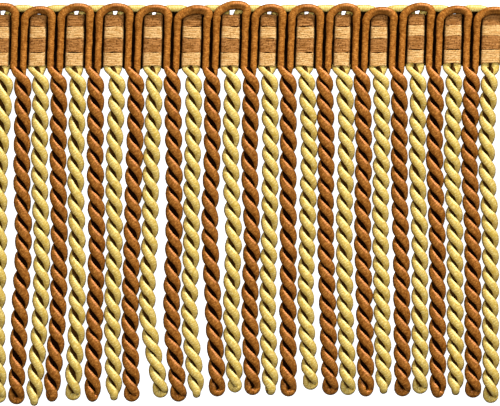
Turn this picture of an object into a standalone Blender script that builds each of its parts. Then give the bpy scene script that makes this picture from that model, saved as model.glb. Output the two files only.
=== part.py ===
"""A cut length of two-tone bullion fringe, lying on its back with its face up.

Two gimp cords run through the whole length. Each is doubled and twisted on itself into a row
of hanging cords, and between two of them it loops over the heading. The bronze loops stand on
the face, and the gold ones run behind. Four bands of warp yarn weave across the heading, over
the gold cord and behind the bronze one.

Metres, +Z up out of the face, +X along the heading, +Y towards the loops.
"""

import math

import bmesh
import bpy
from mathutils import Vector

MM = 0.001

# Layout along the heading
COLUMNS = 14
PITCH = 14.3 * MM
END_MARGIN = 3.3 * MM
HEAD_LEAN = 0.035

# Heights above the heading's lower edge, and that edge's own place
TALLEST_LOOP = 25.2 * MM
LONGEST_CORD = 128.5 * MM
EDGE_Y = (LONGEST_CORD - TALLEST_LOOP) / 2

# The twisted cords: two plies side by side, turning round each other
PLY_RADIUS = 1.4 * MM
TWIST_RADIUS = 1.65 * MM
CORD_HALF_WIDTH = PLY_RADIUS + TWIST_RADIUS
CORD_SPACING = 2 * CORD_HALF_WIDTH + 0.4 * MM
ROOT_LENGTH = 10 * MM
RIDGE_HALF_THICKNESS = 1.9 * MM
FIRST_STEP = math.radians(36)
TWIST_STEP = math.radians(72)
FLOOR_SHARE = math.cos(TWIST_STEP / 4)
TIP_LENGTH = CORD_HALF_WIDTH
TIP_CLEARANCE = 0.4 * MM
PUSHES = 40

# The rounded end of a hanging cord: share of the tip's length left, share of the full width
TIP_RINGS = ((0.7, 0.95), (0.2, 0.6), (0.0, 0.2))

# The bronze cord in the heading
BRONZE_LEG_OFFSET = 1.75 * MM
BRONZE_WIDTH = 2.6 * MM
BRONZE_DEPTH = 2.5 * MM
BRONZE_LEG_Z = 2.35 * MM
BRONZE_LOOP_Z = 4.2 * MM
BRONZE_LOOP_RISE = 4.2 * MM
BRONZE_STUB_Y = 20.5 * MM

# The gold cord in the heading
GOLD_LEG_OFFSET = 1.4 * MM
GOLD_WIDTH = 2.6 * MM
GOLD_DEPTH = 2.1 * MM
GOLD_LOOP_TOP = 22.5 * MM
GOLD_LOOP_RISE = 3.2 * MM

# Cords in the heading are drawn with five sides, one of them level below. FLAT is where that
# side lies and WIDE where the widest corners lie, as shares of the radius.
SIDES = 5
FLAT = math.cos(math.pi / SIDES)
WIDE = math.cos(math.pi / SIDES / 2)
BRONZE_LOOP_STEPS = 6
GOLD_LOOP_STEPS = 4

# Two legs end side by side in the square neck of a hanging cord, which is a little larger
NECK_MARGIN = 0.1 * MM
LEG_TUCK = 0.4 * MM
TUCK_SHARE = 0.5
GOLD_Z = GOLD_DEPTH / 2 * FLAT + NECK_MARGIN

# The warp bands
BAND_THICKNESS = 0.8 * MM
BAND_BACK_Z = BAND_THICKNESS / 2
BAND_FRONT_Z = 2.75 * MM
BAND_TOP_INSET = 2.35 * MM
BAND_FOOT_INSET = 1.1 * MM

# name, lower edge and upper edge above the heading's lower edge in mm, colour
BANDS = (
    ("band_gold_lower", 0.35, 5.2, "gold_warp"),
    ("band_bronze_lower", 5.5, 10.2, "bronze_warp"),
    ("band_gold_upper", 10.5, 14.2, "gold_warp"),
    ("band_bronze_upper", 14.5, 19.1, "bronze_warp"),
)

# name: colour, roughness
MATERIALS = {
    "bronze_gimp": ((0.33, 0.12, 0.03, 1), 0.45),
    "gold_gimp": ((0.72, 0.52, 0.17, 1), 0.45),
    "bronze_warp": ((0.42, 0.20, 0.07, 1), 0.5),
    "gold_warp": ((0.80, 0.54, 0.24, 1), 0.5),
}

# Each hanging cord, from left to right. root is its sideways shift in mm from an even spacing;
# upper, middle, lower and tip are its shifts in mm from its own root a quarter, a half,
# three quarters and all of the way down. length is in mm, and turns counts half turns of twist.
CORD_COLUMNS = ("root", "upper", "middle", "lower", "tip", "length", "turns")
BRONZE_CORDS = (
    (0.0, 0.2, 0.4, 0.0, -0.4, 127.5, 17.5),
    (-0.6, 0.6, 1.7, 0.4, -0.6, 128.0, 17.0),
    (-1.0, 0.8, 1.3, 0.6, -2.3, 127.0, 18.5),
    (-0.9, 0.2, 0.8, 0.9, -0.8, 127.0, 19.0),
    (-0.2, 0.0, -0.6, -1.3, -1.3, 127.0, 18.0),
    (0.2, 1.3, 1.1, 0.2, 1.9, 127.0, 18.0),
    (0.7, 0.4, -0.8, 0.8, 2.5, 125.0, 18.0),
    (1.0, -0.4, 0.9, 0.2, 1.3, 124.5, 18.0),
    (0.6, 0.4, 0.9, 1.1, 0.9, 125.0, 18.0),
    (0.7, 0.9, 0.6, 1.3, 2.3, 124.5, 19.0),
    (0.1, 1.7, 1.3, 1.7, 1.9, 125.0, 18.5),
    (-0.1, 0.6, 0.9, 1.3, 1.9, 125.0, 18.0),
    (-0.4, 0.4, 0.9, 1.1, 1.5, 125.5, 18.0),
    (-0.6, -0.8, 0.0, 0.2, 0.8, 125.5, 19.0),
    (0.0, -0.3, 0.2, 0.4, 0.3, 126.0, 18.5),
)
GOLD_CORDS = (
    (0.0, -1.1, -0.7, -1.5, -0.4, 127.5, 18.0),
    (0.0, -0.1, 1.6, 1.0, -1.4, 128.5, 18.5),
    (0.0, -0.2, 0.4, 0.2, -0.9, 126.5, 17.0),
    (0.0, 0.1, 0.3, -0.6, 0.5, 126.5, 18.5),
    (0.0, -0.9, -1.1, -2.6, 2.8, 125.5, 18.0),
    (0.0, 0.0, -0.2, -1.2, 1.5, 125.5, 18.5),
    (0.0, -0.3, 1.0, -0.5, 0.8, 123.5, 18.5),
    (0.0, 0.8, 0.3, -0.1, 1.4, 124.5, 18.5),
    (0.0, 1.5, 0.9, 0.2, 2.1, 122.5, 19.5),
    (0.0, 1.9, 0.7, 1.0, 2.7, 124.5, 19.0),
    (0.0, 0.8, 0.2, 0.9, 1.8, 124.0, 19.5),
    (0.0, -0.1, 1.6, 1.3, 1.5, 124.0, 18.0),
    (0.0, -0.2, 1.2, 0.6, 0.8, 124.5, 19.5),
    (0.0, -0.8, -0.1, -0.4, -0.8, 127.5, 19.0),
)
HEIGHTS = ("upper", "middle", "lower", "tip")

# Each bronze loop, from left to right: its outer height above the lower edge in mm, and how far
# in mm its crown leans to the right.
BRONZE_LOOPS = (
    (24.4, 0.0),
    (23.2, 0.0),
    (24.3, 0.3),
    (24.3, 0.1),
    (23.8, 0.0),
    (23.6, 0.1),
    (25.2, 1.2),
    (24.0, 0.1),
    (24.0, -0.4),
    (24.3, 0.4),
    (22.9, 0.1),
    (24.5, 0.8),
    (23.4, 0.6),
    (23.0, 0.3),
)


def clear_scene():
    for obj in list(bpy.data.objects):
        bpy.data.objects.remove(obj, do_unlink=True)


def make_material(name):
    colour, roughness = MATERIALS[name]
    material = bpy.data.materials.new(name)
    material.use_nodes = True
    shader = material.node_tree.nodes["Principled BSDF"]
    shader.inputs["Base Color"].default_value = colour
    shader.inputs["Roughness"].default_value = roughness
    shader.inputs["Metallic"].default_value = 0.0
    return material


def smooth(share):
    """0 to 1 with no slope at either end."""
    share = min(1.0, max(0.0, share))
    return share * share * (3 - 2 * share)


def mix(low, high, share):
    return low + (high - low) * share


def leaning(x, height):
    """x moved with the heading's lean, for a point at that height above its lower edge."""
    return x + HEAD_LEAN * max(0.0, height)


# Where the cords stand


def read_cords(rows):
    return [dict(zip(CORD_COLUMNS, row)) for row in rows]


def place_cords():
    """All hanging cords from left to right, each with its x at the root and at the four heights.

    The bronze ones stand a pitch apart, and each gold one halfway between two of them.
    """
    bronze = read_cords(BRONZE_CORDS)
    gold = read_cords(GOLD_CORDS)
    for number, cord in enumerate(bronze):
        cord["colour"] = "bronze"
        cord["root_x"] = (number - COLUMNS / 2) * PITCH + cord["root"] * MM
    for number, cord in enumerate(gold):
        cord["colour"] = "gold"
        middle = (bronze[number]["root_x"] + bronze[number + 1]["root_x"]) / 2
        cord["root_x"] = middle + cord["root"] * MM
    cords = [bronze[0]]
    for left, right in zip(gold, bronze[1:]):
        cords += [left, right]
    for cord in cords:
        for height in HEIGHTS:
            cord[height] = cord["root_x"] + cord[height] * MM
    for height in HEIGHTS:
        keep_apart(cords, height)
    return cords


def keep_apart(cords, height):
    """Neighbours that would run into each other push apart, as they do on the table."""
    for _ in range(PUSHES):
        for left, right in zip(cords, cords[1:]):
            short = CORD_SPACING - (right[height] - left[height])
            if short > 0:
                left[height] -= short / 2
                right[height] += short / 2


def cord_x(cord, share):
    """x of a hanging cord's middle line at that share of its length, on a smooth curve."""
    knots = [cord["root_x"]] + [cord[height] for height in HEIGHTS]
    place = share * len(HEIGHTS)
    index = min(int(place), len(HEIGHTS) - 1)
    t = place - index
    before = knots[max(0, index - 1)]
    after = knots[min(len(knots) - 1, index + 2)]
    start, end = knots[index], knots[index + 1]
    slope_in = (end - before) / 2
    slope_out = (after - start) / 2
    return (
        start * (2 * t**3 - 3 * t**2 + 1)
        + slope_in * (t**3 - 2 * t**2 + t)
        + end * (3 * t**2 - 2 * t**3)
        + slope_out * (t**3 - t**2)
    )


# Building closed meshes from rings


def closed_mesh(name, rings):
    """One closed mesh from rings of points, with a flat face over each end.

    Each face between two rings is split from a point to the next ring's following point, which
    keeps the crest of a left-hand twist outside.
    """
    mesh = bmesh.new()
    levels = [[mesh.verts.new(point) for point in ring] for ring in rings]
    count = len(levels[0])
    for upper, lower in zip(levels, levels[1:]):
        for side in range(count):
            after = (side + 1) % count
            mesh.faces.new((upper[side], lower[side], lower[after]))
            mesh.faces.new((upper[side], lower[after], upper[after]))
    mesh.faces.new(levels[0])
    mesh.faces.new(levels[-1])
    bmesh.ops.recalc_face_normals(mesh, faces=mesh.faces)
    data = bpy.data.meshes.new(name)
    mesh.to_mesh(data)
    mesh.free()
    return data


def joined_mesh(name, parts):
    """The closed meshes of several pieces that lie clear of each other, in one mesh."""
    mesh = bmesh.new()
    for part in parts:
        mesh.from_mesh(part)
        bpy.data.meshes.remove(part)
    data = bpy.data.meshes.new(name)
    mesh.to_mesh(data)
    mesh.free()
    return data


def add_object(name, data, material):
    obj = bpy.data.objects.new(name, data)
    obj.data.materials.append(material)
    bpy.context.scene.collection.objects.link(obj)
    return obj


# The hanging cords


def neck(colour):
    """Middle height, half width and half height of the neck that holds two legs."""
    if colour == "bronze":
        offset, width, depth, z = BRONZE_LEG_OFFSET, BRONZE_WIDTH, BRONZE_DEPTH, BRONZE_LEG_Z
    else:
        offset, width, depth, z = GOLD_LEG_OFFSET, GOLD_WIDTH, GOLD_DEPTH, GOLD_Z
    return (
        z + depth / 4 * (1 - FLAT),
        offset + width / 2 * WIDE + NECK_MARGIN,
        depth / 4 * (1 + FLAT) + NECK_MARGIN,
    )


def neck_ring(cord):
    middle_z, half_wide, half_high = neck(cord["colour"])
    return [
        Vector((cord["root_x"] + side_x * half_wide, EDGE_Y, middle_z + side_z * half_high))
        for side_x, side_z in ((-1, 1), (-1, -1), (1, -1), (1, 1))
    ]


def twist_ring(cord, along, width_share=1.0):
    """The four corners of a hanging cord's section at that distance down from its neck.

    The long diagonal joins the outer sides of the two plies. Its right end starts level with
    the left one and turns down, round and up again. The neck gives way to the full twist over
    the root's length.
    """
    length = cord["length"] * MM
    phase = cord["turns"] * math.pi * along / length
    grown = smooth(along / ROOT_LENGTH)
    start_z, start_wide, start_high = neck(cord["colour"])
    middle_z = mix(start_z, CORD_HALF_WIDTH * FLOOR_SHARE, grown)
    half_wide = mix(start_wide, CORD_HALF_WIDTH, grown) * width_share
    half_high = mix(start_high, CORD_HALF_WIDTH, grown) * width_share
    half_thick = mix(start_high, RIDGE_HALF_THICKNESS, grown) * math.sqrt(width_share)
    x = cord_x(cord, along / length)
    ring = []
    for quarter in (2, 3, 4, 5):
        angle = quarter * math.pi / 2 - phase
        radius_x, radius_z = (half_wide, half_high) if quarter % 2 == 0 else (half_thick,) * 2
        offset = (radius_x * math.cos(angle), 0, radius_z * math.sin(angle))
        ring.append(Vector((x, EDGE_Y - along, middle_z)) + Vector(offset))
    return ring


def twisted_cord(cord):
    """A hanging cord from its neck at the heading's edge to the rounded loop at its tip."""
    length = cord["length"] * MM
    end_phase = cord["turns"] * math.pi
    rings = [neck_ring(cord)]
    phase = FIRST_STEP
    while length * phase / end_phase < length - TIP_LENGTH - TIP_CLEARANCE:
        rings.append(twist_ring(cord, length * phase / end_phase))
        phase += TWIST_STEP
    for left, width_share in TIP_RINGS:
        rings.append(twist_ring(cord, length - left * TIP_LENGTH, width_share))
    return closed_mesh("cord", rings)


# The loops over the heading


def tube(points, width, depth, end_shares=(1.0, 1.0)):
    """A closed tube of flattened section along points that lie nearly level."""
    rings = []
    for index, point in enumerate(points):
        before = points[max(0, index - 1)]
        after = points[min(len(points) - 1, index + 1)]
        ahead = (after - before).normalized()
        side = Vector((ahead.y, -ahead.x, 0)).normalized()
        share = 1.0
        if index == 0:
            share = end_shares[0]
        elif index == len(points) - 1:
            share = end_shares[1]
        ring = []
        for corner in range(SIDES):
            angle = math.pi / 2 + 2 * math.pi * corner / SIDES
            ring.append(
                point
                + side * (width / 2 * share * math.cos(angle))
                + Vector((0, 0, depth / 2 * share * math.sin(angle)))
            )
        rings.append(ring)
    return closed_mesh("tube", rings)


def loop_points(left_x, right_x, top, rise, lean, leg_z, loop_z, steps):
    """The middle line of one loop: up a leg, over the crown and down the other leg."""
    middle_x = (left_x + right_x) / 2
    half_span = (right_x - left_x) / 2
    spring = top - rise
    points = [
        Vector((left_x, EDGE_Y - LEG_TUCK, leg_z)),
        Vector((left_x, EDGE_Y + LEG_TUCK, leg_z)),
    ]
    for step in range(steps + 1):
        angle = math.pi * (1 - step / steps)
        height = spring + rise * math.sin(angle)
        x = middle_x + half_span * math.cos(angle) + lean * math.sin(angle)
        lift = smooth(math.sin(angle) / math.sin(math.pi / steps))
        points.append(Vector((leaning(x, height), EDGE_Y + height, mix(leg_z, loop_z, lift))))
    points.append(Vector((right_x, EDGE_Y + LEG_TUCK, leg_z)))
    points.append(Vector((right_x, EDGE_Y - LEG_TUCK, leg_z)))
    return points


def bronze_tubes(roots):
    """The bronze loops, and the stub that a cut leaves at each end of the length."""
    tubes = []
    for left, right, (outer, lean) in zip(roots, roots[1:], BRONZE_LOOPS):
        points = loop_points(
            left + BRONZE_LEG_OFFSET,
            right - BRONZE_LEG_OFFSET,
            outer * MM - BRONZE_WIDTH / 2,
            BRONZE_LOOP_RISE,
            lean * MM,
            BRONZE_LEG_Z,
            BRONZE_LOOP_Z,
            BRONZE_LOOP_STEPS,
        )
        tubes.append(tube(points, BRONZE_WIDTH, BRONZE_DEPTH, (TUCK_SHARE, TUCK_SHARE)))
    for x in (roots[0] - BRONZE_LEG_OFFSET, roots[-1] + BRONZE_LEG_OFFSET):
        heights = (-LEG_TUCK, LEG_TUCK, BRONZE_STUB_Y)
        points = [Vector((leaning(x, h), EDGE_Y + h, BRONZE_LEG_Z)) for h in heights]
        tubes.append(tube(points, BRONZE_WIDTH, BRONZE_DEPTH, (TUCK_SHARE, 1.0)))
    return tubes


def gold_tubes(roots):
    """The gold loops behind the bronze ones, and a half loop that a cut leaves at each end."""
    tubes = []
    span = PITCH - 2 * GOLD_LEG_OFFSET
    sizes = (GOLD_LOOP_TOP, GOLD_LOOP_RISE, 0, GOLD_Z, GOLD_Z, GOLD_LOOP_STEPS)
    for left, right in zip(roots, roots[1:]):
        points = loop_points(left + GOLD_LEG_OFFSET, right - GOLD_LEG_OFFSET, *sizes)
        tubes.append(tube(points, GOLD_WIDTH, GOLD_DEPTH, (TUCK_SHARE, TUCK_SHARE)))
    half = GOLD_LOOP_STEPS // 2 + 3
    right_end = roots[-1] + GOLD_LEG_OFFSET
    points = loop_points(right_end, right_end + span, *sizes)[:half]
    tubes.append(tube(points, GOLD_WIDTH, GOLD_DEPTH, (TUCK_SHARE, 1.0)))
    left_end = roots[0] - GOLD_LEG_OFFSET
    points = loop_points(left_end - span, left_end, *sizes)[-half:]
    tubes.append(tube(points, GOLD_WIDTH, GOLD_DEPTH, (1.0, TUCK_SHARE)))
    return tubes


def fused_cord(name, cords, tubes, material):
    """The hanging cords of one colour with the loops that join them, as one solid."""
    hanging = joined_mesh(name, [twisted_cord(cord) for cord in cords])
    obj = add_object(name, hanging, material)
    loops = add_object(name + "_loops", joined_mesh(name + "_loops", tubes), material)
    union = obj.modifiers.new("loops", "BOOLEAN")
    union.operation = "UNION"
    union.solver = "EXACT"
    union.object = loops
    bpy.context.view_layer.update()
    graph = bpy.context.evaluated_depsgraph_get()
    fused = bpy.data.meshes.new_from_object(obj.evaluated_get(graph))
    obj.modifiers.clear()
    obj.data = fused
    bpy.data.objects.remove(loops, do_unlink=True)
    return obj


# The warp bands


def band_line(bronze_roots, gold_roots):
    """The middle line of a band, from above: behind each pair of bronze legs, over the gold."""
    line = [(bronze_roots[0] - END_MARGIN, BAND_BACK_Z)]
    for number in range(len(gold_roots)):
        left_leg = bronze_roots[number] + BRONZE_LEG_OFFSET
        right_leg = bronze_roots[number + 1] - BRONZE_LEG_OFFSET
        line += [
            (left_leg + BAND_FOOT_INSET, BAND_BACK_Z),
            (left_leg + BAND_TOP_INSET, BAND_FRONT_Z),
            (right_leg - BAND_TOP_INSET, BAND_FRONT_Z),
            (right_leg - BAND_FOOT_INSET, BAND_BACK_Z),
        ]
    line.append((bronze_roots[-1] + END_MARGIN, BAND_BACK_Z))
    return line


def offset_corner(line, index):
    """How far a corner of the band's middle line moves to stay half a thickness off it."""
    before = Vector(line[max(0, index - 1)])
    here = Vector(line[index])
    after = Vector(line[min(len(line) - 1, index + 1)])
    ways = [way.normalized() for way in (here - before, after - here) if way.length > 0]
    normals = [Vector((-way.y, way.x)) for way in ways]
    normal = sum(normals, Vector((0, 0))).normalized()
    return normal * (BAND_THICKNESS / 2 / normal.dot(normals[0]))


def warp_band(name, low, high, material, line):
    rings = []
    for index, (x, z) in enumerate(line):
        away = offset_corner(line, index)
        ring = []
        for height, side in ((low, -1), (low, 1), (high, 1), (high, -1)):
            place = leaning(x + side * away.x, height * MM)
            ring.append(Vector((place, EDGE_Y + height * MM, z + side * away.y)))
        rings.append(ring)
    return add_object(name, closed_mesh(name, rings), material)


def main():
    clear_scene()
    materials = {name: make_material(name) for name in MATERIALS}
    cords = place_cords()
    bronze = [cord for cord in cords if cord["colour"] == "bronze"]
    gold = [cord for cord in cords if cord["colour"] == "gold"]
    bronze_roots = [cord["root_x"] for cord in bronze]
    gold_roots = [cord["root_x"] for cord in gold]
    fused_cord("bronze_cord", bronze, bronze_tubes(bronze_roots), materials["bronze_gimp"])
    fused_cord("gold_cord", gold, gold_tubes(gold_roots), materials["gold_gimp"])
    line = band_line(bronze_roots, gold_roots)
    for name, low, high, colour in BANDS:
        warp_band(name, low, high, materials[colour], line)


main()
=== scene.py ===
"""Two-tone bullion fringe, laid flat on white studio paper and seen from straight above.

Viscose gimp cord, bronze and gold, is looped over a woven heading and twisted into a row of
hanging cords. Every run of cord between two tips is one piece, wound round and round with fine
thread. The four bands of the heading are woven from separate yarns.

Metres, +Z up out of the face, +X along the heading, +Y towards its loops. Sizes that come from
the trim itself are named in millimetres and turned to metres with MM.
"""

import math
import random
from collections import namedtuple

import bpy
import numpy as np
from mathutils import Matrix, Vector


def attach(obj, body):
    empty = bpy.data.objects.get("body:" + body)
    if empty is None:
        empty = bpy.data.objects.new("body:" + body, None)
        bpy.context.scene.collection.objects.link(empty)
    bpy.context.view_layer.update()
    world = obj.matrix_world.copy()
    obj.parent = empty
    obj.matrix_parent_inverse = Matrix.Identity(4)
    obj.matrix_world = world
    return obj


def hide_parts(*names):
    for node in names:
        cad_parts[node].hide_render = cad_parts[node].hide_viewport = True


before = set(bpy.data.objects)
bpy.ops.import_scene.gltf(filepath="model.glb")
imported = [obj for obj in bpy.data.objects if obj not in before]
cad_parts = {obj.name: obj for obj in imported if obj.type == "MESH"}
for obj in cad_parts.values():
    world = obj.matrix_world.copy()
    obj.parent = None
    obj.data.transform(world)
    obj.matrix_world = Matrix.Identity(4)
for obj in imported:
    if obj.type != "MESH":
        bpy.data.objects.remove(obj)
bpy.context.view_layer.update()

MM = 0.001

# Layout along the heading, as in the solids
COLUMNS = 14
PITCH = 14.3
END_MARGIN = 3.3
HEAD_LEAN = 0.035
EDGE_Y = 51.65
CORD_SPACING = 6.7
PUSHES = 40
# Length over which a cord bends aside below the heading, and over which it swings back
SWERVE_IN = 7.0
SWERVE_OUT = 50.0

# The cords, in mm. Sizes across a cord are half sizes, from its middle line to its surface.
# offset: legs from the middle of a hanging cord. z: the legs' middle height.
# wide, deep: a leg's sizes along the heading and upwards. root_wide: the first at the heading's
# edge. loop_z, loop_wide, loop_deep: the same in the loop, which lies over its neighbours.
# loop_rise: height of a loop's middle line above where it springs. shoulder: below 1, a loop is
# squarer than an ellipse. closed: height up to which no light shows between two legs.
# twist: radius of the path that each ply turns on. ply, ply_across: a ply's sizes, outwards from
# the twist's middle and across that. tip_radius, tip_ply: the same at the tip.
# rise: share of the full twist height that the plies have where they leave the heading.
# grow: length over which they reach it.
# loop_shade, rope_shade: how much painted shade the loops and the hanging cords get, which the legs
# don't.
# hidden: 1 where the bands are woven over the legs; there the legs' front is painted near-black as
# shade.
# shaded, lit: how much painted shade a ply's two flanks get beside the gap, from the gap outwards:
# the flank away from the light, and the other one, which gets it only while the ply is on the left.
BRONZE = {
    "offset": 1.8,
    "z": 2.35,
    "wide": 1.24,
    "root_wide": 1.24,
    "deep": 1.25,
    "loop_z": 4.1,
    "loop_wide": 1.58,
    "loop_deep": 1.35,
    "loop_rise": 3.9,
    "loop_shade": 0.3,
    "rope_shade": 0.17,
    "shoulder": 0.84,
    "closed": 2.0,
    "twist": 2.14,
    "ply": 1.2,
    "ply_across": 1.75,
    "tip_radius": 1.85,
    "tip_ply": 1.34,
    "rise": 0.62,
    "grow": 5.0,
    "hidden": 0.0,
    "shaded": (0.95, 0.75, 0.45, 0.2),
    "lit": (0.95, 0.8, 0.6, 0.4, 0.2),
}
GOLD = {
    "offset": 2.0,
    "z": 1.06,
    "wide": 1.36,
    "root_wide": 1.56,
    "deep": 1.04,
    "loop_z": 1.1,
    "loop_wide": 1.4,
    "loop_deep": 1.08,
    "loop_rise": 2.8,
    "loop_shade": 0.0,
    "rope_shade": 0.0,
    "shoulder": 0.6,
    "closed": 17.5,
    "twist": 1.9,
    "ply": 1.4,
    "ply_across": 1.68,
    "tip_radius": 1.68,
    "tip_ply": 1.32,
    "rise": 0.3,
    "grow": 6.5,
    "hidden": 1.0,
    "shaded": (0.8, 0.5, 0.15),
    "lit": (0.95, 0.85, 0.7, 0.5, 0.25),
}
GOLD_LOOP_TOP = 22.35
BRONZE_STUB_TOP = 20.5

# A loop is rounder on its left, where the cord comes up slack, and its crown leans right
SLACK = 0.16
CROWN_LEAN = 0.4
# The legs start to rise at this height above the heading's edge, and are all the way up this far
# below their loop's outer height
LIFT_START = 12.0
LIFT_END = 3.0
# Share of its full height that a twist keeps as it lies flat on the table
TWIST_RISE = 0.92

# The way that a cord's surface faces where it gets a painted highlight, standing in for light from
# that way, and how squarely it must
LIGHT_WAY = (0.38, 0.62, 0.69)
LIGHT_FROM = 0.7
# The same way at the crown of a loop, where the painted highlight stands for the gloss on the cord's
# top
CROWN_LIGHT_WAY = (0.22, 0.46, 0.86)
# Share of that painted highlight that a leg gets, and how much more the crown of a loop does
LEG_RIM = 0.2
CROWN_RIM = 0.76
# Painted shade on a cord's sides: on those that turn away from the light, and a thin painted dark
# outline on the narrow rest. The shade starts where the surface faces up, or to the light, by less
# than the first number of a pair, and is full where it does so by less still, by the second number.
SIDE_DARK = 0.32
SIDE_FACING_UP = (0.7, 0.35)
SIDE_FACING_LIGHT = (0.6, 0.4)
EDGE_DARK = 0.2
EDGE_FACING_UP = (0.5, 0.3)
# Painted shade on a loop or hanging cord, darkest on its inner side. SHADE_LEAST is the share of that
# on its outer side, and SHADE_SLOPE how fast it grows inwards. A crown's painted shade reaches
# further out, by CROWN_SHIFT, and is a little lighter again towards its inner side, from
# CROWN_LIGHTER on.
SHADE_LEAST = 0.3
SHADE_SLOPE = 0.8
CROWN_SHIFT = 0.2
CROWN_LIGHTER_BY = 0.4
CROWN_LIGHTER_FROM = 0.1
CROWN_LIGHTER_OVER = 0.4
# How quickly the painted near-black shade in the gap reaches its full depth, in mm, and how quickly a
# ply counts as one on the left as it turns that way
GAP_DARK_OVER = 0.1
LEFT_SLOPE = 1.2

# Unevenness: each wave is its height and its length in mm. Heights are shares of a size, but for
# the twist in radians and the legs' sway and the yarns' bow in mm.
WAVE_SHARES = (1.0, 0.62, 0.41)
TWIST_WAVE = (0.16, 43.0)
TWIST_SHORT_WAVE = (0.14, 19.0)
RADIUS_WAVE = (0.06, 17.0)
PLY_WAVE = (0.05, 9.0)
PLY_SHORT_WAVE = (0.04, 2.4)
LEG_WAVE = (0.04, 4.0)
LEG_SWAY = (0.1, 11.0)
LOOP_WAVE = (0.03, 7.0)
YARN_BOW = (0.26, 13.0)
YARN_SHORT_BOW = (0.06, 8.0)
# Height over which the legs' sway begins
SWAY_OVER = 5.0

# How finely the cords are made: sides round, and steps along in mm or in number
SIDES = 24
TWIST_STEP = 0.75
LEG_STEP = 0.8
LOOP_STEPS = 24
TIP_STEPS = 7
# The inner sides of two plies, painted near-black as the shade between them, reach this far into each
# other, further at the root, and so do a tip's two halves
GAP_OVERLAP = 0.3
ROOT_OVERLAP = 0.55
TIP_OVERLAP = 0.12
# Length over which a twist narrows to its tip, share of the painted shade on a ply's flank that is
# left there, and how far the ply's section gets round at the tip's end
TIP_LENGTH = 6.0
TIP_FLANK = 0.25
TIP_ROUND = 0.6
# Heights above the heading's edge: where the bands begin to hide the legs and the painted shade on
# the legs starts, and how far up the legs are as wide as at their roots
HIDDEN_FROM = 1.0
ROOT_HEIGHT = 3.0

# Winding of the gimp cord. The real thread is about 0.3 mm thick and too fine to show here, so
# the turns are drawn 0.8 mm apart.
WINDING_PITCH = 0.8

# Each hanging cord, from left to right. root is its sideways shift in mm from an even spacing;
# swerve is how far it bends aside just below the heading; upper, middle, lower and tip are its
# shifts in mm from its own root a quarter, a half, three quarters and all of the way down.
# length is in mm. turns counts half turns of twist: a whole number leaves the tip's loop face
# on, and a half leaves it edge on.
CORD_COLUMNS = ("root", "swerve", "upper", "middle", "lower", "tip", "length", "turns")
BRONZE_CORDS = (
    (0.0, 0.8, 0.2, 0.4, 0.0, -0.4, 127.5, 17.0),
    (-0.6, 1.7, 0.6, 2.0, 0.5, -0.3, 128.0, 17.0),
    (-1.0, 1.3, 0.8, 1.6, 0.9, -2.8, 127.0, 17.65),
    (-0.9, 1.0, 0.4, 1.6, 1.9, -0.2, 127.0, 18.35),
    (-0.2, 1.2, 0.3, 0.0, -0.8, -0.8, 127.0, 17.9),
    (0.2, 0.1, 1.5, 1.4, 0.6, 2.6, 127.0, 18.0),
    (0.7, 0.6, 0.6, -0.1, 1.8, 3.4, 125.0, 17.1),
    (1.0, 1.0, -0.2, 1.3, 0.4, 1.5, 124.5, 17.1),
    (0.6, 1.0, 0.4, 1.1, 1.1, 1.2, 125.0, 17.1),
    (0.7, 0.4, 0.7, 0.9, 1.8, 3.0, 124.5, 19.0),
    (0.1, 0.7, 1.7, 1.6, 2.0, 2.0, 125.0, 18.2),
    (-0.1, 0.9, 0.7, 1.5, 2.0, 2.4, 125.0, 18.0),
    (-0.4, 0.5, 0.4, 1.2, 1.5, 2.2, 125.5, 17.3),
    (-0.6, 0.4, -1.2, 0.1, 0.6, 1.2, 125.5, 19.0),
    (0.0, 0.0, -0.3, 0.2, 0.4, 0.3, 126.0, 18.5),
)
GOLD_CORDS = (
    (0.0, 1.7, -1.6, -1.0, -2.5, 0.6, 127.5, 17.0),
    (0.0, 1.6, 0.2, 2.1, 1.3, -1.4, 128.5, 18.5),
    (0.0, 1.5, -0.2, 1.2, 1.1, -0.5, 126.5, 17.0),
    (0.0, 1.7, -0.2, 0.6, -0.1, 1.1, 126.5, 18.5),
    (0.0, 1.1, -0.4, -0.8, -2.9, 3.9, 125.5, 18.0),
    (0.0, 1.1, -0.4, 0.0, -0.8, 2.4, 125.5, 18.5),
    (0.0, 1.2, -0.4, 1.5, 0.2, 1.5, 123.5, 17.8),
    (0.0, 0.9, 1.0, 0.8, 0.2, 1.4, 124.5, 18.6),
    (0.0, 0.8, 1.5, 1.2, 0.4, 2.5, 122.5, 19.0),
    (0.0, 1.1, 1.9, 1.1, 1.3, 3.0, 124.5, 19.0),
    (0.0, 1.1, 0.4, 0.5, 1.5, 2.0, 124.0, 19.5),
    (0.0, 1.5, -0.5, 2.0, 1.9, 2.0, 124.0, 18.0),
    (0.0, 1.3, -0.5, 1.7, 1.3, 0.8, 124.5, 19.5),
    (0.0, -0.7, -1.3, -0.4, -0.1, -0.2, 127.5, 19.0),
)
HEIGHTS = ("upper", "middle", "lower", "tip")

# Each bronze loop, from left to right: its outer height above the lower edge in mm, how far in mm
# its crown leans to the right, and how many times as thick as the others it is there.
BRONZE_LOOPS = (
    (24.4, 0.0, 1.0),
    (23.2, 0.0, 1.0),
    (24.3, 0.3, 1.0),
    (24.3, 0.1, 1.0),
    (23.8, 0.0, 1.0),
    (23.6, 1.4, 1.15),
    (25.2, 1.2, 1.12),
    (24.0, 0.1, 1.0),
    (24.0, -0.4, 1.0),
    (24.3, 0.4, 1.0),
    (22.9, 0.1, 1.0),
    (24.5, 0.8, 1.0),
    (23.4, 0.6, 1.0),
    (23.0, 0.3, 1.0),
)

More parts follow.
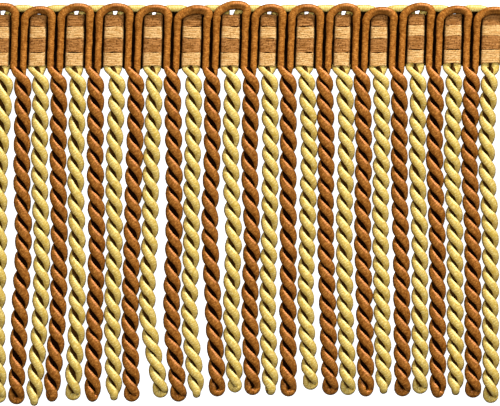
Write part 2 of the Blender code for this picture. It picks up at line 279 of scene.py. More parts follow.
# The bands of the heading: node, lower and upper edge above the heading's lower edge in mm,
# number of yarns, colour
BANDS = (
    ("band_gold_lower", 0.55, 5.35, 7, "gold"),
    ("band_bronze_lower", 5.65, 10.75, 8, "bronze"),
    ("band_gold_upper", 11.0, 15.2, 6, "gold"),
    ("band_bronze_upper", 15.5, 19.9, 7, "bronze"),
)
YARN_BACK_Z = 0.4
YARN_FRONT_Z = 2.75
YARN_TOP_INSET = 2.75
YARN_FOOT_INSET = 1.45
YARN_HALF_DEEP = 0.24
# Yarns lie a little over each other, and behind the legs they spread to close the cloth
YARN_OVERLAP = 1.2
YARN_SPREAD = 2.6
YARN_SPREAD_POWER = 9
# Behind the legs the lowest yarns sag below the edge, and the highest rise, those from
# YARN_RISE_FROM on. Both fade over YARN_DRIFT_OVER.
YARN_SAG = 0.83
YARN_RISE = 0.99
YARN_RISE_FROM = 16.0
YARN_DRIFT_OVER = 3.0
YARN_DRIFT_POWER = 3
# A yarn's height where it arches over the gold strands, and its stations along one window as
# shares of its way up, over and down
YARN_DOME = 0.12
UP_SHARES = (0.0, 0.25, 0.5, 0.75)
OVER_SHARES = (0.0, 0.2, 0.4, 0.6, 0.8, 1.0)
DOWN_SHARES = (0.25, 0.5, 0.75, 1.0)
YARN_SIDES = 8
# Past this x either way the yarns' cut ends are out from behind the last leg, and get no painted
# shade
YARN_END_X = 103.1
# Towards the right-hand end the lower bands ride up: from what x, over what length, by how much.
# The upper ones do so less: by what share, from what height, over what height.
RIDE_FROM = 53.0
RIDE_OVER = 9.0
RIDE_UP = 1.1
RIDE_LESS = 0.8
RIDE_LESS_FROM = 8.0
RIDE_LESS_OVER = 12.0

# Where the random draws of the gold runs, the cut ends and the bands start
GOLD_SEED = 40
END_SEED = 90
BAND_SEED = 100


# Small sums


def smooth(share):
    """0 to 1 with no slope at either end."""
    share = np.clip(share, 0.0, 1.0)
    return share * share * (3 - 2 * share)


def mix(low, high, share):
    return low + (high - low) * share


def short_of(value, start, over):
    """0 where value is start or more, rising smoothly to 1 where it falls short by over."""
    return smooth((start - value) / over)


def leaning(x, height):
    """x moved with the heading's lean, for a point at that height above its lower edge."""
    return x + HEAD_LEAN * np.maximum(0.0, height)


def ride_up(x, height):
    """How far the bands have moved up at that x, the less the higher above the lower edge."""
    less = RIDE_LESS * smooth((height - RIDE_LESS_FROM) / RIDE_LESS_OVER)
    return RIDE_UP * smooth((x - RIDE_FROM) / RIDE_OVER) * (1 - less)


def ripple(places, wave, seed):
    """A gentle random wave along places. wave is its height and its length."""
    height, length = wave
    draw = random.Random(seed)
    total = 0.0
    for share in WAVE_SHARES:
        phase = draw.uniform(0, 2 * math.pi)
        total = total + np.sin(places * 2 * math.pi / (length * share) + phase)
    return height * (total / len(WAVE_SHARES))


# Where the cords stand


def read_cords(rows):
    return [dict(zip(CORD_COLUMNS, row)) for row in rows]


def place_cords():
    """All hanging cords, bronze and gold, each with its x at the root and at four heights."""
    bronze = read_cords(BRONZE_CORDS)
    gold = read_cords(GOLD_CORDS)
    for number, cord in enumerate(bronze):
        cord["root_x"] = (number - COLUMNS / 2) * PITCH + cord["root"]
    for number, cord in enumerate(gold):
        middle = (bronze[number]["root_x"] + bronze[number + 1]["root_x"]) / 2
        cord["root_x"] = middle + cord["root"]
    cords = [bronze[0]]
    for left, right in zip(gold, bronze[1:]):
        cords += [left, right]
    for cord in cords:
        for height in ("swerve", *HEIGHTS):
            cord[height] = cord["root_x"] + cord[height]
    for height in ("swerve", *HEIGHTS):
        keep_apart(cords, height)
    return bronze, gold


def keep_apart(cords, height):
    """Neighbours that would run into each other push apart, as they do on the table."""
    for _ in range(PUSHES):
        for left, right in zip(cords, cords[1:]):
            short = CORD_SPACING - (right[height] - left[height])
            if short > 0:
                left[height] -= short / 2
                right[height] += short / 2


def cord_x(cord, share):
    """x of a hanging cord's middle line at that share of its length, on a smooth curve."""
    knots = [cord["root_x"]] + [cord[height] for height in HEIGHTS]
    place = share * len(HEIGHTS)
    index = min(int(place), len(HEIGHTS) - 1)
    t = place - index
    before = knots[max(0, index - 1)]
    after = knots[min(len(knots) - 1, index + 2)]
    start, end = knots[index], knots[index + 1]
    slope_in = (end - before) / 2
    slope_out = (after - start) / 2
    along = share * cord["length"]
    aside = smooth(along / SWERVE_IN) * (1 - smooth((along - SWERVE_IN) / SWERVE_OUT))
    return (
        start * (2 * t**3 - 3 * t**2 + 1)
        + slope_in * (t**3 - 2 * t**2 + t)
        + end * (3 * t**2 - 2 * t**3)
        + slope_out * (t**3 - t**2)
        + (cord["swerve"] - cord["root_x"]) * aside
    )


# Paths of cord. A path is a list of rings, one for each step along it.
# x, y, z: the ring's middle. out_x, out_y, out_z: the way that its first side faces.
# wide, deep: its half size that way, and across it. gap: how far its inner side reaches past that
# into the gap between two plies, where it is painted near-black as shade. hidden: 1 where its front
# is hidden behind the bands, and painted near-black there as shade.
# flank: which ply of a hanging cord it is, -1 or 1, less where the gap closes, and 0 in the heading.
# rim: how much of the painted highlight its edge gets. dull: how much painted shade darkens it all
# round. crown: how far up its loop it is, from 0 to 1.
Ring = namedtuple(
    "Ring",
    "x y z out_x out_y out_z wide deep gap hidden flank rim dull crown",
    defaults=(0.0,) * 6,
)


def lying_height(radius, rise, wide, deep, phase):
    """How high a twist's middle must be for its lower ply to lie on the table."""
    down, aside = abs(math.sin(phase)), abs(math.cos(phase))
    return radius * rise * down + math.hypot(wide * down, deep * aside)


def ply_path(cord, make, side):
    """One ply of a hanging cord, from the heading's edge to the middle of the tip's loop.

    side -1 starts on the left and crosses over the front first, side 1 starts on the right.
    """
    length = cord["length"]
    straight = length - make["tip_radius"] - make["tip_ply"]
    count = int(round(straight / TWIST_STEP))
    seed = int(cord["root_x"] * 10)
    tip_turn = cord["turns"] * math.pi
    full_z = make["twist"] * TWIST_RISE + make["ply"]
    tip_sizes = (make["tip_radius"], TWIST_RISE, make["tip_ply"], make["ply_across"])
    tip_z = lying_height(*tip_sizes, tip_turn)
    rings = []
    for step in range(1, count + 1):
        along = straight * step / count
        grown = smooth(along / make["grow"])
        near_tip = smooth((along - straight + TIP_LENGTH) / TIP_LENGTH)
        uneven = ripple(along, TWIST_WAVE, seed) + ripple(along, TWIST_SHORT_WAVE, seed + 1)
        phase = tip_turn * along / straight + uneven * (1 - near_tip)
        radius = mix(mix(make["offset"], make["twist"], grown), make["tip_radius"], near_tip)
        radius *= 1 + ripple(along, RADIUS_WAVE, seed + 3 * side) * grown * (1 - near_tip)
        rise = mix(make["rise"], TWIST_RISE, grown)
        out_x = side * math.cos(phase)
        out_z = -side * math.sin(phase)
        swell = 1 + ripple(along, PLY_WAVE, seed + side)
        swell += ripple(along, PLY_SHORT_WAVE, seed + 7 * side)
        wide = mix(mix(make["root_wide"], make["ply"], grown), make["tip_ply"], near_tip) * swell
        deep = mix(make["deep"], make["ply_across"], grown) * swell
        middle_z = mix(mix(make["z"], full_z, grown), tip_z, near_tip)
        middle_z = max(middle_z, lying_height(radius, rise, wide, deep, phase))
        rings.append(
            Ring(
                x=cord_x(cord, along / length) + radius * out_x,
                y=EDGE_Y - along,
                z=middle_z + radius * rise * out_z,
                out_x=out_x,
                out_y=0.0,
                out_z=out_z,
                wide=wide,
                deep=deep,
                gap=max(0.0, radius - wide) + mix(ROOT_OVERLAP, GAP_OVERLAP, grown),
                flank=side * (1 - (1 - TIP_FLANK) * near_tip**3),
                rim=1.0,
                dull=make["rope_shade"] * grown,
            )
        )
    out_x = side * math.cos(tip_turn)
    out_z = -side * math.sin(tip_turn)
    middle_x = cord_x(cord, straight / length)
    for step in range(1, TIP_STEPS + 1):
        angle = (math.pi / 2 + TIP_OVERLAP) * step / TIP_STEPS
        radial, down = math.cos(angle), math.sin(angle)
        rings.append(
            Ring(
                x=middle_x + make["tip_radius"] * radial * out_x,
                y=EDGE_Y - straight - make["tip_radius"] * down,
                z=tip_z + make["tip_radius"] * TWIST_RISE * radial * out_z,
                out_x=radial * out_x,
                out_y=-down,
                out_z=radial * out_z,
                wide=make["tip_ply"],
                deep=mix(make["ply_across"], make["tip_ply"], TIP_ROUND * down),
                gap=make["tip_radius"] - make["tip_ply"] + GAP_OVERLAP,
                flank=TIP_FLANK * side * max(0.0, radial),
                rim=1.0,
                dull=make["rope_shade"],
            )
        )
    return rings


def leg_path(x, top, outer, make, inward, seed):
    """A leg from the heading's edge up to where its loop springs. inward points at the window."""
    count = int(round(top / LEG_STEP))
    rings = []
    for step in range(count + 1):
        height = top * step / count
        lift = loop_lift(height, outer)
        dent = 1 + ripple(height, LEG_WAVE, seed)
        sway = ripple(height, LEG_SWAY, seed + 5) * smooth(height / SWAY_OVER)
        narrow = mix(make["root_wide"], make["wide"], smooth(height / ROOT_HEIGHT))
        between = make["offset"] - make["wide"] + GAP_OVERLAP / 2
        rings.append(
            Ring(
                x=leaning(x, height) + sway,
                y=EDGE_Y + height,
                z=mix(make["z"], make["loop_z"], lift),
                out_x=inward,
                out_y=0.0,
                out_z=0.0,
                wide=mix(narrow, make["loop_wide"], lift) * dent,
                deep=mix(make["deep"], make["loop_deep"], lift) * dent,
                gap=between if height < make["closed"] else 0.0,
                hidden=make["hidden"] if height > HIDDEN_FROM + ride_up(x, 0.0) else 0.0,
                rim=LEG_RIM,
            )
        )
    return rings


def loop_lift(height, outer):
    """How far a cord has risen from a leg's place to its loop's, from 0 to 1."""
    return smooth((height - LIFT_START) / (outer - LIFT_END - LIFT_START))


def loop_path(left_x, right_x, outer, lean, thick, make, seed):
    """A loop over the heading from its left spring to its right one.

    outer is the height of its outer side, lean how far its crown is moved to the right, and
    thick how many times as wide the cord is there.
    """
    middle_x = (left_x + right_x) / 2
    half_span = (right_x - left_x) / 2
    rise = make["loop_rise"]
    spring = outer - make["loop_wide"] - rise
    rings = []
    for step in range(1, LOOP_STEPS):
        angle = math.pi * (1 - step / LOOP_STEPS)
        left = smooth(0.5 + math.cos(math.pi - angle))
        power = make["shoulder"] + SLACK * left
        across = math.copysign(abs(math.cos(angle)) ** power, math.cos(angle))
        above = math.sin(angle) ** power
        thicker = mix(1.0, thick, above)
        height = spring + rise * above - make["loop_wide"] * (thicker - 1)
        x = middle_x + half_span * across + (lean + CROWN_LEAN) * above
        lift = loop_lift(height, outer)
        dent = 1 + ripple(step, LOOP_WAVE, seed)
        rings.append(
            Ring(
                x=leaning(x, height),
                y=EDGE_Y + height,
                z=mix(make["z"], make["loop_z"], lift),
                out_x=-across * rise,
                out_y=-above * half_span,
                out_z=0.0,
                wide=mix(make["wide"], make["loop_wide"], lift) * dent * thicker,
                deep=mix(make["deep"], make["loop_deep"], lift) * dent,
                rim=LEG_RIM + CROWN_RIM * above,
                dull=make["loop_shade"] * above,
                crown=above,
            )
        )
    return rings


def run_path(left, right, outer, lean, thick, make, seed):
    """One run of cord: from the tip of one hanging cord over a loop to the tip of the next."""
    top = outer - make["loop_wide"] - make["loop_rise"]
    rings = []
    left_x = right_x = None
    if left:
        left_x = left["root_x"] + make["offset"]
        rings += ply_path(left, make, 1)[::-1]
        rings += leg_path(left_x, top, outer, make, 1.0, seed)
    if right:
        right_x = right["root_x"] - make["offset"]
    if left_x is None:
        left_x = right_x - PITCH + 2 * make["offset"]
    if right_x is None:
        right_x = left_x + PITCH - 2 * make["offset"]
    loop = loop_path(left_x, right_x, outer, lean, thick, make, seed)
    half = LOOP_STEPS // 2
    if not left:
        loop = loop[half:]
    if not right:
        loop = loop[:half]
    rings += loop
    if right:
        rings += leg_path(right_x, top, outer, make, -1.0, seed + 1)[::-1]
        rings += ply_path(right, make, -1)
    return rings


def stub_path(cord, make, side, seed):
    """A hanging cord's outer ply at a cut end, with its leg cut off at the top."""
    x = cord["root_x"] + side * make["offset"]
    leg = leg_path(x, BRONZE_STUB_TOP, BRONZE_STUB_TOP + make["loop_rise"], make, side, seed)
    if side > 0:
        return ply_path(cord, make, side)[::-1] + leg
    return leg[::-1] + ply_path(cord, make, side)


# Meshes


def unit(vectors):
    return vectors / np.linalg.norm(vectors, axis=1, keepdims=True)


def tube_faces(lengths, sides):
    """The faces of a closed tube, and their corners on its UV map."""
    faces, corners = [], []
    count = len(lengths)
    for ring in range(count - 1):
        low, high = ring * sides, (ring + 1) * sides
        for side in range(sides):
            after = (side + 1) % sides
            faces.append((low + side, low + after, high + after, high + side))
            start, end = side / sides, (side + 1) / sides
            corners += [
                (lengths[ring], start),
                (lengths[ring], end),
                (lengths[ring + 1], end),
                (lengths[ring + 1], start),
            ]
    first = tuple(range(sides))[::-1]
    last = tuple(range((count - 1) * sides, count * sides))
    faces += [first, last]
    corners += [(lengths[0], 0.5)] * sides + [(lengths[-1], 0.5)] * sides
    return faces, corners


def flank_dark(ring, beside, on_left, shaded, lit):
    """How much painted shade the points beside the gap get, on the flanks of the plies."""
    dark = np.zeros((len(on_left), len(beside)))
    for weights, way, where in ((shaded, 1, 1.0), (lit, -1, on_left)):
        for place, weight in enumerate(weights, start=1):
            for side in (-1, 1):
                flank = (beside == way * place * side)[None, :]
                dark += weight * flank * (where * np.clip(ring.flank * side, 0, 1))
    return dark


def shades(ring, facing, outwards, front, turn, beside, shaded, lit):
    """For each point of a tube its painted shade, how dark it is, and its painted highlight, how well
    it faces the light, from 0 to 1.

    facing is the way that each ring's first side faces, outwards the way that each point does,
    and front says which points are on the upper side.
    """
    inmost = (beside == 0)[None, :]
    # Painted near-black shade: on a ply's inmost side, which reaches into the gap, and on a leg's
    # front where the bands hide it
    dark = np.maximum(np.clip(ring.gap / GAP_DARK_OVER, 0, 1) * inmost, ring.hidden * front)
    on_left = smooth(0.5 - LEFT_SLOPE * facing[:, 0:1])
    dark = dark + flank_dark(ring, beside, on_left, shaded, lit)
    # Painted highlight: how squarely each point faces one fixed way of the light, baked into the mesh
    way = mix(np.array([LIGHT_WAY]), np.array([CROWN_LIGHT_WAY]), ring.crown)
    facing_light = (outwards * way[:, None, :]).sum(axis=2)
    light = np.clip((facing_light - LIGHT_FROM) / (1 - LIGHT_FROM) * ring.rim, 0, 1)
    # Painted shade on the sides turned away from the light, and a painted dark outline where the
    # surface faces sideways
    facing_up = outwards[:, :, 2]
    side = short_of(facing_up, *SIDE_FACING_UP) * short_of(facing_light, *SIDE_FACING_LIGHT)
    dark = np.maximum(dark, SIDE_DARK * side)
    dark = np.maximum(dark, EDGE_DARK * short_of(facing_up, *EDGE_FACING_UP))
    # Painted shade round a loop or hanging cord, darkest on its inner side and across a crown's body
    inwards = np.cos(turn)[None, :]
    lighter = smooth((inwards - CROWN_LIGHTER_FROM) / CROWN_LIGHTER_OVER)
    shade_round = smooth(0.5 + CROWN_SHIFT * ring.crown + SHADE_SLOPE * inwards)
    shade_round = shade_round - CROWN_LIGHTER_BY * ring.crown * lighter
    dark = np.maximum(dark, ring.dull * mix(SHADE_LEAST, 1.0, shade_round))
    return dark, light


def wound_mesh(name, rings, sides, shaded=(), lit=()):
    """A closed tube along a path, with its length in mm and the way round it as its UV map.

    Its attribute "dark" holds painted shade where little or no light gets in, and "light" a painted
    highlight where the cord faces the light.
    """
    table = np.array(rings)
    ring = Ring(*table.T[:, :, None])
    centres, facing = table[:, 0:3], table[:, 3:6]
    ahead = unit(np.gradient(centres, axis=0))
    across = unit(np.cross(ahead, facing))
    facing = unit(np.cross(across, ahead))
    turn = np.arange(sides) * 2 * math.pi / sides
    beside = np.arange(sides) - sides // 2
    reach = ring.wide * np.cos(turn)[None, :] - ring.gap * (beside == 0)[None, :]
    points = (
        centres[:, None, :]
        + facing[:, None, :] * reach[:, :, None]
        + across[:, None, :] * (ring.deep * np.sin(turn)[None, :])[:, :, None]
    )
    outwards = facing[:, None, :] * np.cos(turn)[None, :, None]
    outwards = outwards + across[:, None, :] * np.sin(turn)[None, :, None]
    front = points[:, :, 2] > ring.z
    dark, light = shades(ring, facing, outwards, front, turn, beside, shaded, lit)
    steps = np.linalg.norm(np.diff(centres, axis=0), axis=1)
    lengths = np.concatenate(([0.0], np.cumsum(steps)))
    faces, corners = tube_faces(lengths, sides)
    mesh = bpy.data.meshes.new(name)
    mesh.from_pydata((points.reshape(-1, 3) * MM).tolist(), [], faces)
    mesh.uv_layers.new(name="length_and_round")
    mesh.uv_layers[0].data.foreach_set("uv", np.array(corners).ravel())
    for key, values in (("dark", dark), ("light", light)):
        attribute = mesh.attributes.new(key, "FLOAT", "POINT")
        attribute.data.foreach_set("value", values.ravel())
    mesh.polygons.foreach_set("use_smooth", [True] * len(mesh.polygons))
    mesh.update()
    return mesh


def cord_mesh(name, rings, make):
    return wound_mesh(name, rings, SIDES, make["shaded"], make["lit"])


def add_piece(name, mesh, material, node):
    piece = bpy.data.objects.new(name, mesh)
    bpy.context.scene.collection.objects.link(piece)
    piece.data.materials.append(material)
    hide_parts(node)
    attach(piece, "root")
    return piece


# The yarns of the bands


def yarn_stations(bronze):
    """Where a yarn passes: x, how far up it has come from behind the legs, and its arch."""
    stations = [(bronze[0]["root_x"] - END_MARGIN, 0.0, 0.0)]
    for left, right in zip(bronze, bronze[1:]):
        left_leg = left["root_x"] + BRONZE["offset"]
        right_leg = right["root_x"] - BRONZE["offset"]
        left_foot, right_foot = left_leg + YARN_FOOT_INSET, right_leg - YARN_FOOT_INSET
        left_top, right_top = left_leg + YARN_TOP_INSET, right_leg - YARN_TOP_INSET
        for share in UP_SHARES:
            stations.append((mix(left_foot, left_top, share), smooth(share), 0.0))
        for share in OVER_SHARES:
            arch = YARN_DOME * math.sin(math.pi * share)
            stations.append((mix(left_top, right_top, share), 1.0, arch))
        for share in DOWN_SHARES:
            stations.append((mix(right_top, right_foot, share), smooth(1 - share), 0.0))
    stations.append((bronze[-1]["root_x"] + END_MARGIN, 0.0, 0.0))
    return np.array(stations).T


def yarn_path(bronze, height, half_wide, drift, band_seed, seed):
    """One yarn's path along the heading: behind each pair of bronze legs, over the gold.

    drift is how far the yarn moves up where it lies behind the legs. The yarns of a band share
    band_seed, and so bow together.
    """
    places, lifts, arches = yarn_stations(bronze)
    bow = ripple(places, YARN_BOW, band_seed) + ripple(places, YARN_SHORT_BOW, seed)
    bow = bow + ride_up(places, height)
    rings = []
    for x, lift, arch, shift in zip(places, lifts, arches, bow):
        y = height + shift + drift * (1 - lift) ** YARN_DRIFT_POWER
        z = mix(YARN_BACK_Z, YARN_FRONT_Z, lift) + arch
        spread = half_wide * mix(YARN_SPREAD, YARN_OVERLAP, lift**YARN_SPREAD_POWER)
        rings.append(Ring(leaning(x, y), EDGE_Y + y, z, 0.0, 1.0, 0.0, spread, YARN_HALF_DEEP))
    return rings


def band_mesh(name, low, high, count, bronze, seed):
    """All yarns of one band, side by side, in one mesh."""
    half_wide = (high - low) / count / 2
    yarns = []
    for number in range(count):
        height = low + half_wide * (2 * number + 1)
        sag = YARN_SAG * smooth(1 - height / YARN_DRIFT_OVER)
        drift = YARN_RISE * smooth((height - YARN_RISE_FROM) / YARN_DRIFT_OVER) - sag
        rings = yarn_path(bronze, height, half_wide, drift, seed, seed + number)
        mesh = wound_mesh(name + "_yarn", rings, YARN_SIDES)
        yarn = bpy.data.objects.new(name + "_yarn", mesh)
        bpy.context.scene.collection.objects.link(yarn)
        yarns.append(yarn)
    bpy.ops.object.select_all(action="DESELECT")
    for yarn in yarns:
        yarn.select_set(True)
    bpy.context.view_layer.objects.active = yarns[0]
    bpy.ops.object.join()
    joined = yarns[0].data
    bpy.data.objects.remove(yarns[0])
    joined.name = name
    return joined


# Materials. Colours as seen on screen.

# Cord: painted shade between the turns, body in its darker and lighter patches, painted highlight on
# the edge that faces the light, and near-black for all painted shade, in the gap and elsewhere
BRONZE_GIMP = ("#4A2106", "#834A13", "#C68237", "#F2A062", "#120300")
GOLD_GIMP = ("#8F6F20", "#C6A444", "#E8CE7C", "#FFF2A4", "#4A2806")
# Yarn: between the filaments, filaments in shade and in light, and near-black for the painted shade
# where it dips behind the legs
BRONZE_YARN = ("#5A3010", "#8A5826", "#BC844A", "#0E0300")
GOLD_YARN = ("#A07030", "#C49050", "#E4BC80", "#0E0300")


def linear(colour):
    """A hex colour as seen on screen, as the linear values that a shader takes."""
    parts = [int(colour[place : place + 2], 16) / 255 for place in (1, 3, 5)]
    return [p / 12.92 if p <= 0.04045 else ((p + 0.055) / 1.055) ** 2.4 for p in parts] + [1.0]


def add_node(material, kind, settings=None, links=None):
    """Adds a node. settings: property or input to value. links: input to another's output.

    An input that shares its name with others is given by its place, as a number.
    """
    node = material.node_tree.nodes.new(kind)
    for key, value in (settings or {}).items():
        if isinstance(key, str) and hasattr(node, key):
            setattr(node, key, value)
        else:
            node.inputs[key].default_value = value
    for key, output in (links or {}).items():
        material.node_tree.links.new(output, node.inputs[key])
    return node


def new_material(name):
    material = bpy.data.materials.new(name)
    material.use_nodes = True
    material.node_tree.nodes.clear()
    return material


def viscose_gimp(name, dark, middle, light, edge, gap):
    """Cord wound with fine viscose thread: satin, ribbed across, painted near-black as shade where
    plies press.

    The eye sees soft turns of thread across the cord, uneven in depth, with painted shade between the
    turns, a painted highlight on the edge where the cord faces one fixed way of the light, and
    painted near-black shade inside the gap between two plies, on the sides and towards the table.
    """
    material = new_material(name)
    uv = add_node(material, "ShaderNodeUVMap", {"uv_map": "length_and_round"})
    split = add_node(material, "ShaderNodeSeparateXYZ", links={0: uv.outputs[0]})
    turns = add_node(
        material,
        "ShaderNodeMath",
        {"operation": "MULTIPLY", 1: 1 / WINDING_PITCH},
        {0: split.outputs["X"]},
    )
    lay = add_node(
        material, "ShaderNodeMath", {"operation": "ADD"}, {0: turns.outputs[0], 1: split.outputs["Y"]}
    )
    place = add_node(material, "ShaderNodeTexCoord")
    wander = add_node(
        material,
        "ShaderNodeTexNoise",
        {"Scale": 500.0, "Detail": 1.0},
        {"Vector": place.outputs["Object"]},
    )
    loose = add_node(
        material,
        "ShaderNodeMath",
        {"operation": "MULTIPLY_ADD", 1: 2.4},
        {0: wander.outputs["Fac"], 2: lay.outputs[0]},
    )
    angle = add_node(
        material, "ShaderNodeMath", {"operation": "MULTIPLY", 1: 2 * math.pi}, {0: loose.outputs[0]}
    )
    thread = add_node(material, "ShaderNodeMath", {"operation": "COSINE"}, {0: angle.outputs[0]})
    mottle = add_node(
        material,
        "ShaderNodeTexNoise",
        {"Scale": 950.0, "Detail": 3.0, "Roughness": 0.65},
        {"Vector": place.outputs["Object"]},
    )
    patches = add_node(
        material,
        "ShaderNodeMapRange",
        {"From Min": 0.38, "From Max": 0.62},
        {"Value": mottle.outputs["Fac"]},
    )
    uneven = add_node(
        material,
        "ShaderNodeMath",
        {"operation": "MULTIPLY"},
        {0: thread.outputs[0], 1: patches.outputs[0]},
    )
    ridge = add_node(
        material,
        "ShaderNodeMapRange",
        {"From Min": -1.0, "From Max": 1.0},
        {"Value": uneven.outputs[0]},
    )
    body = add_node(
        material,
        "ShaderNodeMix",
        {"data_type": "RGBA", 6: linear(middle), 7: linear(light)},
        {0: patches.outputs[0]},
    )
    # Painted shade in the grooves between the turns of thread, with the bump
    lines = add_node(
        material,
        "ShaderNodeMapRange",
        {"From Min": 0.0, "From Max": 0.55, "To Min": 0.6, "To Max": 0.0},
        {"Value": ridge.outputs[0]},
    )
    ribbed = add_node(
        material,
        "ShaderNodeMix",
        {"data_type": "RGBA", 7: linear(dark)},
        {0: lines.outputs[0], 6: body.outputs[2]},
    )
    # Painted highlight: the edge colour mixed in where the "light" attribute is high, beaded by the
    # thread's turns
    light_edge = add_node(material, "ShaderNodeAttribute", {"attribute_name": "light"})
    beads = add_node(
        material,
        "ShaderNodeMapRange",
        {"From Min": -0.6, "From Max": 0.4, "To Min": 0.45, "To Max": 1.0},
        {"Value": thread.outputs[0]},
    )
    crest = add_node(
        material,
        "ShaderNodeMapRange",
        {"interpolation_type": "SMOOTHSTEP", "From Min": 0.68, "From Max": 0.96},
        {"Value": light_edge.outputs["Fac"]},
    )
    edge_share = add_node(
        material,
        "ShaderNodeMath",
        {"operation": "MULTIPLY"},
        {0: crest.outputs[0], 1: beads.outputs[0]},
    )
    edged = add_node(
        material,
        "ShaderNodeMix",
        {"data_type": "RGBA", 7: linear(edge)},
        {0: edge_share.outputs[0], 6: ribbed.outputs[2]},
    )
    # Painted shade from the mesh's "dark" attribute
    unlit = add_node(material, "ShaderNodeAttribute", {"attribute_name": "dark"})
    deep = add_node(
        material,
        "ShaderNodeMapRange",
        {"interpolation_type": "SMOOTHSTEP", "From Min": 0.08, "From Max": 0.36},
        {"Value": unlit.outputs["Fac"]},
    )
    height = add_node(material, "ShaderNodeSeparateXYZ", links={0: place.outputs["Object"]})
    # Painted shade towards the table: the lower the cord lies, below 1.7 mm, the darker
    under = add_node(
        material,
        "ShaderNodeMapRange",
        {
            "interpolation_type": "SMOOTHSTEP",
            "From Min": 0.2 * MM,
            "From Max": 1.7 * MM,
            "To Min": 0.9,
            "To Max": 0.0,
        },
        {"Value": height.outputs["Z"]},
    )
    shade = add_node(
        material,
        "ShaderNodeMath",
        {"operation": "MAXIMUM"},
        {0: deep.outputs[0], 1: under.outputs[0]},
    )
    # Painted shade: the near-black gap colour mixed in by the "dark" attribute and towards the table
    colour = add_node(
        material,
        "ShaderNodeMix",
        {"data_type": "RGBA", 7: linear(gap)},
        {0: shade.outputs[0], 6: edged.outputs[2]},
    )
    dull = add_node(
        material, "ShaderNodeMapRange", {"To Min": 0.42, "To Max": 1.0}, {"Value": deep.outputs[0]}
    )
    bump = add_node(
        material,
        "ShaderNodeBump",
        {"Strength": 0.4, "Distance": 0.12 * MM},
        {"Height": ridge.outputs[0]},
    )
    shader = add_node(
        material,
        "ShaderNodeBsdfPrincipled",
        {
            "IOR": 1.5,
            "Specular IOR Level": 0.35,
            "Specular Tint": linear(edge),
        },
        {
            "Base Color": colour.outputs[2],
            "Roughness": dull.outputs[0],
            "Normal": bump.outputs[0],
        },
    )
    add_node(material, "ShaderNodeOutputMaterial", links={0: shader.outputs[0]})
    return material


def viscose_yarn(name, dark, middle, light, behind):
    """Untwisted viscose yarn: satin filaments along the yarn, with the specks of its weave."""
    material = new_material(name)
    place = add_node(material, "ShaderNodeTexCoord")
    stretch = add_node(
        material,
        "ShaderNodeMapping",
        {"Scale": (0.3 / MM, 1.5 / MM, 0.3 / MM)},
        {"Vector": place.outputs["Object"]},
    )
    strands = add_node(
        material,
        "ShaderNodeTexNoise",
        {"Scale": 1.0, "Detail": 3.0},
        {"Vector": stretch.outputs[0]},
    )
    strand_share = add_node(
        material,
        "ShaderNodeMapRange",
        {"From Min": 0.35, "From Max": 0.65},
        {"Value": strands.outputs["Fac"]},
    )
    body = add_node(
        material,
        "ShaderNodeMix",
        {"data_type": "RGBA", 6: linear(middle), 7: linear(light)},
        {0: strand_share.outputs[0]},
    )
    specks = add_node(
        material,
        "ShaderNodeTexNoise",
        {"Scale": 1600.0, "Detail": 1.0},
        {"Vector": place.outputs["Object"]},
    )
    speck_share = add_node(
        material,
        "ShaderNodeMapRange",
        {"From Min": 0.5, "From Max": 0.3, "To Min": 0.0, "To Max": 0.9},
        {"Value": specks.outputs["Fac"]},
    )
    speckled = add_node(
        material,
        "ShaderNodeMix",
        {"data_type": "RGBA", 7: linear(dark)},
        {0: speck_share.outputs[0], 6: body.outputs[2]},
    )
    height = add_node(material, "ShaderNodeSeparateXYZ", links={0: place.outputs["Object"]})
    # Painted shade where the yarn lies low behind the legs, but none on the cut ends past the last
    # leg
    under = add_node(
        material,
        "ShaderNodeMapRange",
        {
            "interpolation_type": "SMOOTHSTEP",
            "From Min": 1.7 * MM,
            "From Max": 2.8 * MM,
            "To Min": 1.0,
            "To Max": 0.0,
        },
        {"Value": height.outputs["Z"]},
    )
    bump = add_node(
        material,
        "ShaderNodeBump",
        {"Strength": 0.4, "Distance": 0.05 * MM},
        {"Height": strands.outputs["Fac"]},
    )
    sideways = add_node(
        material, "ShaderNodeMath", {"operation": "ABSOLUTE"}, {0: height.outputs["X"]}
    )
    inside = add_node(
        material,
        "ShaderNodeMapRange",
        {"From Min": YARN_END_X * MM, "From Max": (YARN_END_X - 0.2) * MM},
        {"Value": sideways.outputs[0]},
    )
    shade = add_node(
        material,
        "ShaderNodeMath",
        {"operation": "MULTIPLY"},
        {0: under.outputs[0], 1: inside.outputs[0]},
    )
    colour = add_node(
        material,
        "ShaderNodeMix",
        {"data_type": "RGBA", 7: linear(behind)},
        {0: shade.outputs[0], 6: speckled.outputs[2]},
    )
    dull = add_node(
        material, "ShaderNodeMapRange", {"To Min": 0.45, "To Max": 1.0}, {"Value": shade.outputs[0]}
    )
    shader = add_node(
        material,
        "ShaderNodeBsdfPrincipled",
        {
            "IOR": 1.5,
            "Specular IOR Level": 0.3,
            "Specular Tint": linear(light),
        },
        {
            "Base Color": colour.outputs[2],
            "Roughness": dull.outputs[0],
            "Normal": bump.outputs[0],
        },
    )
    add_node(material, "ShaderNodeOutputMaterial", links={0: shader.outputs[0]})
    return material


def studio_paper():
    """White paper, lit evenly from below as on a light table, so that it shows no shadows."""
    material = new_material("white_studio_paper")
    shader = add_node(
        material,
        "ShaderNodeBsdfPrincipled",
        {
            "Base Color": linear("#FFFFFF"),
            "Roughness": 0.9,
            "Emission Color": linear("#FFFFFF"),
            "Emission Strength": 0.9,
        },
    )
    add_node(material, "ShaderNodeOutputMaterial", links={0: shader.outputs[0]})
    return material


# The studio


def add_floor():
    bpy.ops.mesh.primitive_plane_add(size=3.0, location=(0, 0, -0.3 * MM))
    floor = bpy.context.object
    floor.name = "studio_floor"
    bpy.ops.object.transform_apply(location=True, rotation=True, scale=True)
    floor.data.materials.append(studio_paper())
    floor.visible_diffuse = False
    floor.visible_glossy = False


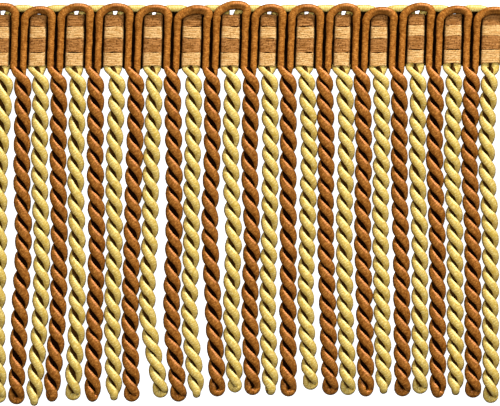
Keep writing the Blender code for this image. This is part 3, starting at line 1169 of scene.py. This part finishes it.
def look_down(place):
    """The turn that points a lamp at that place towards the middle of the trim."""
    return (-Vector(place)).to_track_quat("-Z", "Y").to_euler()


def add_softbox(name, place, size, power):
    bpy.ops.object.light_add(type="AREA", location=place, rotation=look_down(place))
    light = bpy.context.object
    light.name = name
    light.data.size = size
    light.data.energy = power


def add_studio():
    add_softbox("key_softbox", (0.52, 0.82, 0.62), 0.22, 16.0)
    add_softbox("overhead_softbox", (-0.1, 0.1, 1.2), 0.8, 10.0)
    world = bpy.context.scene.world or bpy.data.worlds.new("studio")
    bpy.context.scene.world = world
    world.use_nodes = True
    world.node_tree.nodes["Background"].inputs[0].default_value = linear("#FFFFFF")
    world.node_tree.nodes["Background"].inputs[1].default_value = 0.1


# The photograph is 500 pixels wide and shows 190 mm of the trim
FRAME_WIDTH = 190.0
VIEW_X = 1.5
VIEW_Y = 0.1
CAMERA_HEIGHT = 1.5
SENSOR = 36.0


def add_camera():
    bpy.ops.object.camera_add(location=(VIEW_X * MM, VIEW_Y * MM, CAMERA_HEIGHT))
    camera = bpy.context.object
    camera.name = "camera"
    camera.data.sensor_width = SENSOR
    camera.data.lens = SENSOR * CAMERA_HEIGHT / (FRAME_WIDTH * MM)
    camera.data.clip_end = 10
    bpy.context.scene.camera = camera


def main():
    view = bpy.context.scene.view_settings
    view.view_transform = "Standard"
    view.look = "None"
    bronze_gimp = viscose_gimp("bronze_viscose_gimp", *BRONZE_GIMP)
    gold_gimp = viscose_gimp("gold_viscose_gimp", *GOLD_GIMP)
    bronze_yarn = viscose_yarn("bronze_viscose_yarn", *BRONZE_YARN)
    gold_yarn = viscose_yarn("gold_viscose_yarn", *GOLD_YARN)
    yarns = {"bronze": (bronze_yarn, "bronze_warp"), "gold": (gold_yarn, "gold_warp")}
    bronze, gold = place_cords()
    for number, (outer, lean, thick) in enumerate(BRONZE_LOOPS):
        name = "bronze_run_%02d" % (number + 1)
        left, right = bronze[number], bronze[number + 1]
        rings = run_path(left, right, outer, lean, thick, BRONZE, number)
        add_piece(name, cord_mesh(name, rings, BRONZE), bronze_gimp, "bronze_cord")
    for name, cord, side in (("left", bronze[0], -1), ("right", bronze[-1], 1)):
        name = "bronze_end_" + name
        rings = stub_path(cord, BRONZE, side, END_SEED)
        add_piece(name, cord_mesh(name, rings, BRONZE), bronze_gimp, "bronze_cord")
    outer = GOLD_LOOP_TOP + GOLD["loop_wide"]
    ends = [None] + gold + [None]
    for number, (left, right) in enumerate(zip(ends, ends[1:])):
        name = "gold_run_%02d" % (number + 1)
        rings = run_path(left, right, outer, 0.0, 1.0, GOLD, GOLD_SEED + number)
        add_piece(name, cord_mesh(name, rings, GOLD), gold_gimp, "gold_cord")
    for number, (node, low, high, count, colour) in enumerate(BANDS):
        material, slot = yarns[colour]
        mesh = band_mesh(node + "_yarns", low, high, count, bronze, BAND_SEED * number)
        add_piece(node + "_yarns", mesh, material, node)
    add_floor()
    add_studio()
    add_camera()


main()
